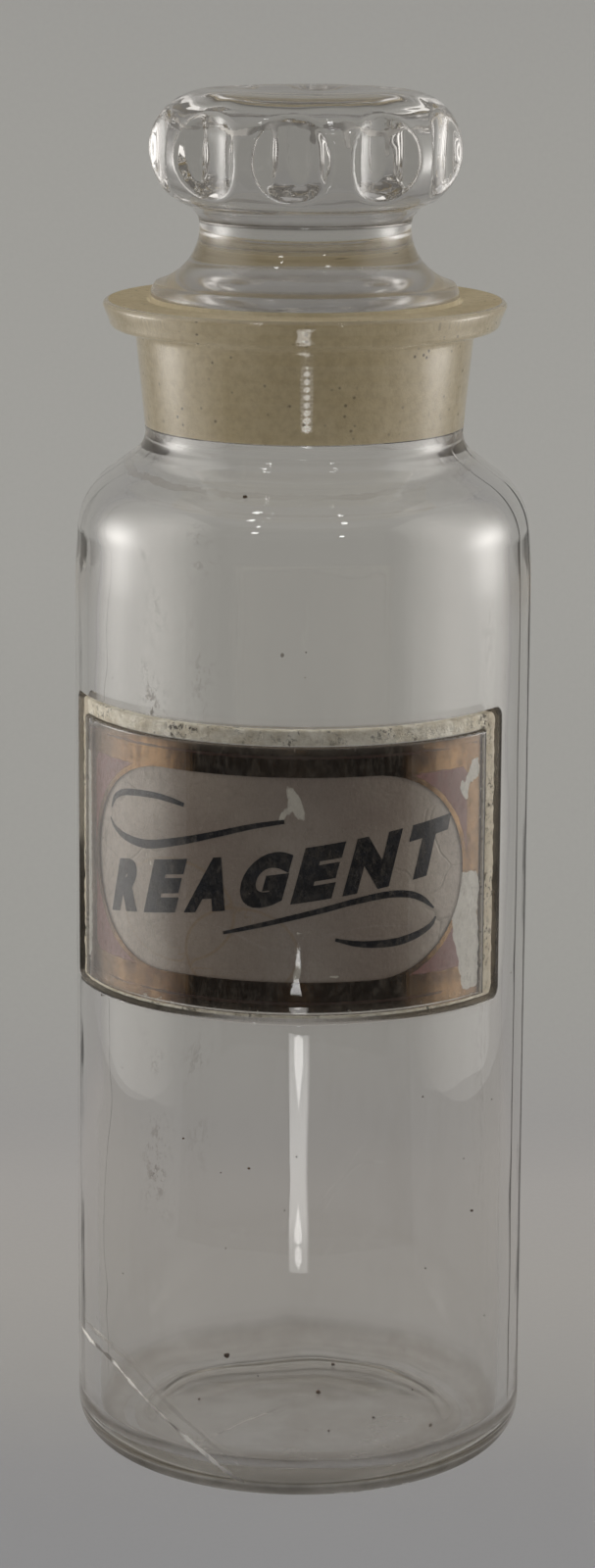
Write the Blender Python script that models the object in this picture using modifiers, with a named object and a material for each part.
"""Wide-mouth reagent bottle with a recessed label under glass and a ground stopper.

Frame: origin at the centre of the base, in the plane it rests on. +Z is up and
the middle of the label faces -Y. Lengths below are in millimetres and are
turned into metres as the meshes are made.

Six separate pieces:
  bottle         moulded glass vessel: foot, wall, label recess, shoulder, neck, lip
  stopper        pressed glass stopper: thumbprint head, waist, ground hollow plug
  label_glass    curved glass pane that covers the label
  label_gilding  gold leaf border with a rounded window, behind the pane
  label_field    enamelled backing plate that shows through the window
  label_cement   frame of cement that holds the pane in the recess
"""
import math
from collections import namedtuple

import bmesh
import bpy
from mathutils import Matrix, Vector

MM = 0.001
FRONT_DEG = -90.0        # direction of -Y about Z
SHARP_DEG = 35.0         # label edges steeper than this stay sharp
MERGE_DISTANCE = 0.00001  # metres, joins a turned profile on its axis and seam
WELD_DISTANCE = 1e-7     # metres, joins coincident points of a curved plate

# ---- facets ----------------------------------------------------------------
BODY_STEPS = 72
FACET_DEG = 360.0 / BODY_STEPS
FACET_TURN_DEG = FACET_DEG / 2   # a facet, not an edge, faces -Y
RECESS_STEPS = 27        # facets of the wall that the recess spans
PANE_STEPS = 25          # facets that the pane spans
HEAD_STEPS = 50          # round the stopper

# ---- body ------------------------------------------------------------------
BODY_R = 38.0            # outside of the wall
WALL = 3.7
INNER_R = BODY_R - WALL
HEEL_R = 7.6             # round between wall and foot
FOOT_IN_R = 26.6         # inner edge of the flat resting ring
FOOT_SLOPE_W = 2.4       # short slope inside the resting ring
FOOT_SLOPE_H = 1.0
PUSH_UP = 2.2            # rise of the underside at its centre
PUSH_UP_MID_R = 14.0     # point part way in along the underside
PUSH_UP_MID_DROP = 0.4   # its depth below the centre
FLOOR_Z = 6.0            # inside floor at its rim
FLOOR_DISH = 0.4         # dip of the floor at its centre
FLOOR_CORNER_R = 9.0     # round between floor and inside wall

# ---- shoulder --------------------------------------------------------------
TAPER_Z = 151.0          # where the wall starts to draw in
TAPER_DEG = 3.4
TAPER_LEN = 8.0          # height of the taper
BEND_BELOW = 1.0         # the bend into the taper starts this far below TAPER_Z
BEND_ABOVE = 2.6         # and ends this far above it,
BEND_IN = 0.12           # this far inside the wall
SHOULDER_R = 11.5
SHOULDER_DEG = 56.0      # steepest lie of the shoulder, from vertical
SHOULDER_IN_R = 8.3
SHOULDER_IN_Z = 157.5

# ---- neck and ground seat --------------------------------------------------
NECK_WAIST_R = 26.3
NECK_WAIST_Z = 174.8
NECK_FILLET = 4.5
NECK_TOP_R = 27.9
NECK_TOP_Z = 189.9
NECK_IN_R = 23.7         # clear bore below the ground seat
NECK_IN_FILLET = 6.0
SEAT_LOW_Z = 175.7
SEAT_LOW_R = 24.25
SEAT_TOP_R = 25.65
SEAT_STEP_H = 0.5        # height of the slope from bore to seat
MOUTH_CHAMFER = 0.5

# ---- lip -------------------------------------------------------------------
LIP_Z = 196.5            # top of the lip
LIP_R = 33.3
LIP_TOP_ROUND = 0.8
LIP_LOW_R = 32.3
LIP_LOW_Z = 191.9
LIP_LOW_ROUND = 1.2
LIP_FILLET = 1.4

# ---- label -----------------------------------------------------------------
# A curved plate with its middle at -Y: inner and outer radius, low and high z,
# half its angle about Z, and the steps across it.
Plate = namedtuple("Plate", "radii heights half_deg steps")

CUT_PAST_WALL = 4.0      # how far each cutter reaches past what it cuts
CUT_PAST_GILDING = 1.0
CUT_PAST_CEMENT = 2.0
PLATE_INSET_DEG = 0.5    # each layer behind the pane is narrower by this, each side
CEMENT_GAP = 0.15        # clearance at the cement's edges
CEMENT_GAP_DEG = 0.3

RECESS = Plate((35.6, BODY_R + CUT_PAST_WALL), (83.8, 131.7),
               RECESS_STEPS * FACET_DEG / 2, RECESS_STEPS)
PANE = Plate((36.35, 37.85), (84.5, 128.9), PANE_STEPS * FACET_DEG / 2, PANE_STEPS)
GILDING = Plate((36.05, 36.25), (84.85, 128.5), PANE.half_deg - PLATE_INSET_DEG, PANE_STEPS)
FIELD = Plate((35.72, 35.95), (85.2, 128.2), GILDING.half_deg - PLATE_INSET_DEG, PANE_STEPS)
CEMENT = Plate((35.75, 37.55),
               (RECESS.heights[0] + CEMENT_GAP, RECESS.heights[1] - CEMENT_GAP),
               RECESS.half_deg - CEMENT_GAP_DEG, RECESS_STEPS)

WINDOW_HALF_DEG = 55.0   # half width of the window, along the curve
WINDOW_HALF_H = 17.0     # also the radius of its round ends
WINDOW_Z = 106.8
WINDOW_END_STEPS = 7     # per quarter circle
WINDOW_STRAIGHT_STEPS = 12

# ---- stopper ---------------------------------------------------------------
HEAD_RIM_R = 16.7        # centre of the head's rounded rim section
HEAD_RIM_Z = 221.0
HEAD_HALF_W = 9.0        # half axes of that section
HEAD_HALF_H = 9.5
HEAD_END_DEG = -74.0     # where the section stops, under the head
DIMPLE_R = 11.0
DIMPLE_DEPTH = 0.6
DIMPLE_EDGE_DEPTH = 0.1
DIMPLE_MID = (0.6, 0.8)  # middle point: fraction of the radius, fraction of the depth
WAIST_R = 17.4
WAIST_Z = 208.4
CREASE_R = WAIST_R + 0.25  # crease under the head
CREASE_Z = 209.7
FLARE_W = 10.6           # half axes of the hollow curve from waist to plug
FLARE_H = 9.7
FLARE_END_DEG = 255.0
PLUG_TOP_R = 25.4
PLUG_TOP_Z = 197.6
PLUG_LOW_R = 24.0
PLUG_LOW_Z = 176.2
PLUG_CHAMFER_W = 0.7
PLUG_CHAMFER_H = 0.6
HOLLOW_LOW_R = 21.5
HOLLOW_TOP_R = 20.1
HOLLOW_WALL_Z = 190.0    # where the hollow's wall meets its dome
HOLLOW_TOP_Z = 197.5
PRINTS = 10              # thumbprints round the head
PRINT_DEEP_R = 22.4      # nearest a thumbprint comes to the axis
PRINT_R = 8.95
PRINT_HALF_H = 25.0
PRINT_TURN_DEG = 4.7     # first thumbprint, from the label's middle
PRINT_SEGMENTS = 28      # of each cutter's sphere
PRINT_RINGS = 20


# ---- scene helpers ---------------------------------------------------------
def clear_scene():
    for obj in list(bpy.data.objects):
        bpy.data.objects.remove(obj, do_unlink=True)


def new_collection(name):
    coll = bpy.data.collections.new(name)
    bpy.context.scene.collection.children.link(coll)
    return coll


def material(name, colour, roughness, metallic=0.0, transmission=0.0, ior=1.5):
    mat = bpy.data.materials.new(name)
    mat.use_nodes = True
    inputs = mat.node_tree.nodes["Principled BSDF"].inputs
    inputs["Base Color"].default_value = (*colour, 1.0)
    inputs["Roughness"].default_value = roughness
    inputs["Metallic"].default_value = metallic
    inputs["Transmission Weight"].default_value = transmission
    inputs["IOR"].default_value = ior
    mat.diffuse_color = (*colour, 1.0)
    return mat


def add_object(name, bm, coll, mat=None):
    """Turn a bmesh into a linked object and free it."""
    mesh = bpy.data.meshes.new(name)
    bm.to_mesh(mesh)
    bm.free()
    obj = bpy.data.objects.new(name, mesh)
    coll.objects.link(obj)
    if mat is not None:
        mesh.materials.append(mat)
    return obj


def cut(obj, cutter, name):
    """Subtract a cutter, and hide the cutter from renders."""
    cutter.hide_render = True
    cutter.display_type = "WIRE"
    mod = obj.modifiers.new(name, "BOOLEAN")
    mod.operation = "DIFFERENCE"
    mod.solver = "EXACT"
    mod.object = cutter


# ---- shape helpers ---------------------------------------------------------
def polar(radius, angle, z):
    """A point in metres from a radius and height in mm and an angle in radians."""
    return (radius * MM * math.cos(angle), radius * MM * math.sin(angle), z * MM)


def arc(centre_r, centre_z, radius, start_deg, end_deg, steps, radius_z=None):
    """Profile points of an arc; 0 degrees points outward, 90 up.
    With radius_z the arc is part of an ellipse."""
    if radius_z is None:
        radius_z = radius
    points = []
    for i in range(steps + 1):
        angle = math.radians(start_deg + (end_deg - start_deg) * i / steps)
        points.append((centre_r + radius * math.cos(angle),
                       centre_z + radius_z * math.sin(angle)))
    return points


def turned(name, profile, steps, coll, mat, turn_deg, origin_z=0.0):
    """A profile in the XZ plane, screwed a full turn about Z."""
    bm = bmesh.new()
    verts = [bm.verts.new((r * MM, 0.0, (z - origin_z) * MM)) for r, z in profile]
    for pair in zip(verts, verts[1:]):
        bm.edges.new(pair)
    obj = add_object(name, bm, coll, mat)
    obj.location = (0.0, 0.0, origin_z * MM)
    obj.rotation_euler = (0.0, 0.0, math.radians(turn_deg))
    screw = obj.modifiers.new("turn", "SCREW")
    screw.axis = "Z"
    screw.angle = math.tau
    screw.steps = steps
    screw.render_steps = steps
    screw.use_merge_vertices = True
    screw.merge_threshold = MERGE_DISTANCE
    screw.use_smooth_shade = True
    return obj


def curved_plate(name, plate, coll, mat=None):
    """A rectangle in the RZ plane spun about Z, its middle at -Y."""
    bm = bmesh.new()
    start = math.radians(FRONT_DEG - plate.half_deg)
    inner, outer = plate.radii
    low, high = plate.heights
    corners = ((inner, low), (outer, low), (outer, high), (inner, high))
    face = bm.faces.new([bm.verts.new(polar(r, start, z)) for r, z in corners])
    bmesh.ops.spin(bm, geom=[face] + list(face.edges) + list(face.verts), cent=(0, 0, 0),
                   axis=(0, 0, 1), angle=math.radians(2 * plate.half_deg),
                   steps=plate.steps, use_duplicate=False)
    bmesh.ops.remove_doubles(bm, verts=bm.verts, dist=WELD_DISTANCE)
    bmesh.ops.recalc_face_normals(bm, faces=bm.faces)
    return add_object(name, bm, coll, mat)


# ---- bottle ----------------------------------------------------------------
def bottle_inside():
    """From the centre of the floor up to the mouth."""
    points = [(0.0, FLOOR_Z - FLOOR_DISH)]
    points += arc(INNER_R - FLOOR_CORNER_R, FLOOR_Z + FLOOR_CORNER_R, FLOOR_CORNER_R,
                  -90, 0, steps=4)
    points += arc(INNER_R - SHOULDER_IN_R, SHOULDER_IN_Z, SHOULDER_IN_R,
                  0, SHOULDER_DEG, steps=4)
    # a straight cone runs from the shoulder to the neck fillet, tangent to both
    lie = math.radians(SHOULDER_DEG)
    shoulder_r, shoulder_z = points[-1]
    cone_top_r = NECK_IN_R + NECK_IN_FILLET * (1 - math.cos(lie))
    cone_top_z = shoulder_z + (shoulder_r - cone_top_r) / math.tan(lie)
    points += arc(NECK_IN_R + NECK_IN_FILLET, cone_top_z + NECK_IN_FILLET * math.sin(lie),
                  NECK_IN_FILLET, 180 + SHOULDER_DEG, 180, steps=2)
    points += [(NECK_IN_R, SEAT_LOW_Z - SEAT_STEP_H), (SEAT_LOW_R, SEAT_LOW_Z),
               (SEAT_TOP_R, LIP_Z - MOUTH_CHAMFER), (SEAT_TOP_R + MOUTH_CHAMFER, LIP_Z)]
    return points


def lip_outside():
    """Top corner, bottom corner, then the fillet into the neck."""
    return (arc(LIP_R - LIP_TOP_ROUND, LIP_Z - LIP_TOP_ROUND, LIP_TOP_ROUND, 90, 0, steps=2)
            + arc(LIP_LOW_R - LIP_LOW_ROUND, LIP_LOW_Z + LIP_LOW_ROUND, LIP_LOW_ROUND,
                  0, -90, steps=2)
            + arc(NECK_TOP_R + LIP_FILLET, NECK_TOP_Z, LIP_FILLET, 90, 180, steps=2))


def bottle_outside():
    """From the waist of the neck down to the centre of the underside."""
    points = arc(NECK_WAIST_R + NECK_FILLET, NECK_WAIST_Z, NECK_FILLET,
                 180, 180 + SHOULDER_DEG, steps=3)
    # the shoulder is tangent to the top of the taper
    taper = math.radians(TAPER_DEG)
    taper_top_r = BODY_R - TAPER_LEN * math.tan(taper)
    taper_top_z = TAPER_Z + TAPER_LEN
    points += arc(taper_top_r - SHOULDER_R * math.cos(taper),
                  taper_top_z - SHOULDER_R * math.sin(taper),
                  SHOULDER_R, SHOULDER_DEG, TAPER_DEG, steps=6)
    points += [(BODY_R - BEND_IN, TAPER_Z + BEND_ABOVE), (BODY_R, TAPER_Z - BEND_BELOW)]
    points += arc(BODY_R - HEEL_R, HEEL_R, HEEL_R, 0, -90, steps=5)
    points += [(FOOT_IN_R, 0.0), (FOOT_IN_R - FOOT_SLOPE_W, FOOT_SLOPE_H),
               (PUSH_UP_MID_R, PUSH_UP - PUSH_UP_MID_DROP), (0.0, PUSH_UP)]
    return points


def build_bottle(coll, cutters):
    glass = material("clear_glass", colour=(0.93, 0.95, 0.93), roughness=0.03,
                     transmission=1.0)
    profile = bottle_inside() + lip_outside() + bottle_outside()
    bottle = turned("bottle", profile, BODY_STEPS, coll, glass, FACET_TURN_DEG)
    cut(bottle, curved_plate("recess_cutter", RECESS, cutters), "label_recess")


# ---- stopper ---------------------------------------------------------------
def stopper_profile():
    """From the centre of the head, down the outside, then up into the hollow."""
    top_z = HEAD_RIM_Z + HEAD_HALF_H
    mid_r, mid_depth = DIMPLE_MID
    plug_end_z = PLUG_LOW_Z - PLUG_CHAMFER_H
    points = [(0.0, top_z - DIMPLE_DEPTH),
              (DIMPLE_R * mid_r, top_z - DIMPLE_DEPTH * mid_depth),
              (DIMPLE_R, top_z - DIMPLE_EDGE_DEPTH)]
    points += arc(HEAD_RIM_R, HEAD_RIM_Z, HEAD_HALF_W, 90, HEAD_END_DEG, steps=10,
                  radius_z=HEAD_HALF_H)
    points += [(CREASE_R, CREASE_Z)]
    points += arc(WAIST_R + FLARE_W, WAIST_Z, FLARE_W, 180, FLARE_END_DEG, steps=5,
                  radius_z=FLARE_H)
    points += [(PLUG_TOP_R, PLUG_TOP_Z), (PLUG_LOW_R, PLUG_LOW_Z),
               (PLUG_LOW_R - PLUG_CHAMFER_W, plug_end_z), (HOLLOW_LOW_R, plug_end_z)]
    points += arc(0.0, HOLLOW_WALL_Z, HOLLOW_TOP_R, 0, 90, steps=5,
                  radius_z=HOLLOW_TOP_Z - HOLLOW_WALL_Z)
    return points


def print_cutter(index, cutters):
    """One thumbprint: an upright ellipsoid that bites into the head's rim."""
    turn = math.radians(FRONT_DEG + PRINT_TURN_DEG + 360.0 * index / PRINTS)
    bm = bmesh.new()
    bmesh.ops.create_uvsphere(bm, u_segments=PRINT_SEGMENTS, v_segments=PRINT_RINGS,
                              radius=1.0)
    bmesh.ops.scale(bm, vec=Vector((PRINT_R, PRINT_R, PRINT_HALF_H)) * MM, verts=bm.verts)
    bmesh.ops.rotate(bm, cent=(0, 0, 0), matrix=Matrix.Rotation(turn, 3, "Z"),
                     verts=bm.verts)
    obj = add_object(f"print_cutter_{index:02d}", bm, cutters)
    obj.location = polar(PRINT_DEEP_R + PRINT_R, turn, HEAD_RIM_Z)
    return obj


def build_stopper(coll, cutters):
    """The stopper lifts straight up, so its origin sits on the axis at lip height."""
    glass = material("pressed_glass", colour=(0.94, 0.95, 0.93), roughness=0.04,
                     transmission=1.0)
    stopper = turned("stopper", stopper_profile(), HEAD_STEPS, coll, glass,
                     PRINT_TURN_DEG, origin_z=LIP_Z)
    for i in range(PRINTS):
        cut(stopper, print_cutter(i, cutters), f"thumbprint_{i:02d}")


# ---- label -----------------------------------------------------------------
def label_plate(name, plate, coll, mat):
    obj = curved_plate(name, plate, coll, mat)
    obj.data.shade_smooth()
    obj.data.set_sharp_from_angle(angle=math.radians(SHARP_DEG))
    return obj


def build_pane(coll):
    glass = material("pane_glass", colour=(0.95, 0.96, 0.95), roughness=0.03,
                     transmission=1.0)
    label_plate("label_glass", PANE, coll, glass)


def window_cutter(cutters):
    """A stadium outline drawn along the curve of the gilding and pushed through it."""
    inner, outer = GILDING.radii
    middle_r = 0.5 * (inner + outer)
    half_arc = math.radians(WINDOW_HALF_DEG) * middle_r
    straight = half_arc - WINDOW_HALF_H
    # lower half of the outline in order along the curve, without its two tips
    lower = arc(-straight, 0.0, WINDOW_HALF_H, 180, 270, WINDOW_END_STEPS)[1:]
    lower += [(-straight + 2 * straight * k / WINDOW_STRAIGHT_STEPS, -WINDOW_HALF_H)
              for k in range(1, WINDOW_STRAIGHT_STEPS)]
    lower += arc(straight, 0.0, WINDOW_HALF_H, -90, 0, WINDOW_END_STEPS)[:-1]
    bm = bmesh.new()

    def add_cap(radius):
        """One end face, in upright strips that follow the curve; returns its outline."""
        def place(along, up):
            angle = math.radians(FRONT_DEG) + along / middle_r
            return bm.verts.new(polar(radius, angle, WINDOW_Z + up))

        low = [place(along, up) for along, up in lower]
        high = [place(along, -up) for along, up in lower]
        start_tip = place(-half_arc, 0.0)
        end_tip = place(half_arc, 0.0)
        for k in range(len(low) - 1):
            bm.faces.new((low[k], low[k + 1], high[k + 1], high[k]))
        bm.faces.new((start_tip, low[0], high[0]))
        bm.faces.new((low[-1], end_tip, high[-1]))
        return [start_tip] + low + [end_tip] + high[::-1]

    inside = add_cap(inner - CUT_PAST_GILDING)
    outside = add_cap(outer + CUT_PAST_GILDING)
    for k in range(len(inside)):
        following = (k + 1) % len(inside)
        bm.faces.new((inside[k], inside[following], outside[following], outside[k]))
    bmesh.ops.recalc_face_normals(bm, faces=bm.faces)
    return add_object("window_cutter", bm, cutters)


def build_gilding(coll, cutters):
    gold = material("gold_leaf", colour=(0.62, 0.47, 0.26), roughness=0.25, metallic=1.0)
    gilding = label_plate("label_gilding", GILDING, coll, gold)
    cut(gilding, window_cutter(cutters), "window")


def build_field(coll):
    enamel = material("cream_enamel", colour=(0.62, 0.57, 0.52), roughness=0.45)
    label_plate("label_field", FIELD, coll, enamel)


def build_cement(coll, cutters):
    """Fills the recess, less an opening that clears the pane all round."""
    mat = material("label_cement", colour=(0.66, 0.65, 0.58), roughness=0.9)
    cement = label_plate("label_cement", CEMENT, coll, mat)
    opening = Plate((CEMENT.radii[0] - CUT_PAST_CEMENT, CEMENT.radii[1] + CUT_PAST_CEMENT),
                    (PANE.heights[0] - CEMENT_GAP, PANE.heights[1] + CEMENT_GAP),
                    PANE.half_deg + CEMENT_GAP_DEG, PANE_STEPS)
    cut(cement, curved_plate("cement_cutter", opening, cutters), "pane_opening")


def main():
    clear_scene()
    coll = new_collection("reagent_bottle")
    cutters = new_collection("cutters")
    build_bottle(coll, cutters)
    build_stopper(coll, cutters)
    build_pane(coll)
    build_gilding(coll, cutters)
    build_field(coll)
    build_cement(coll, cutters)


main()
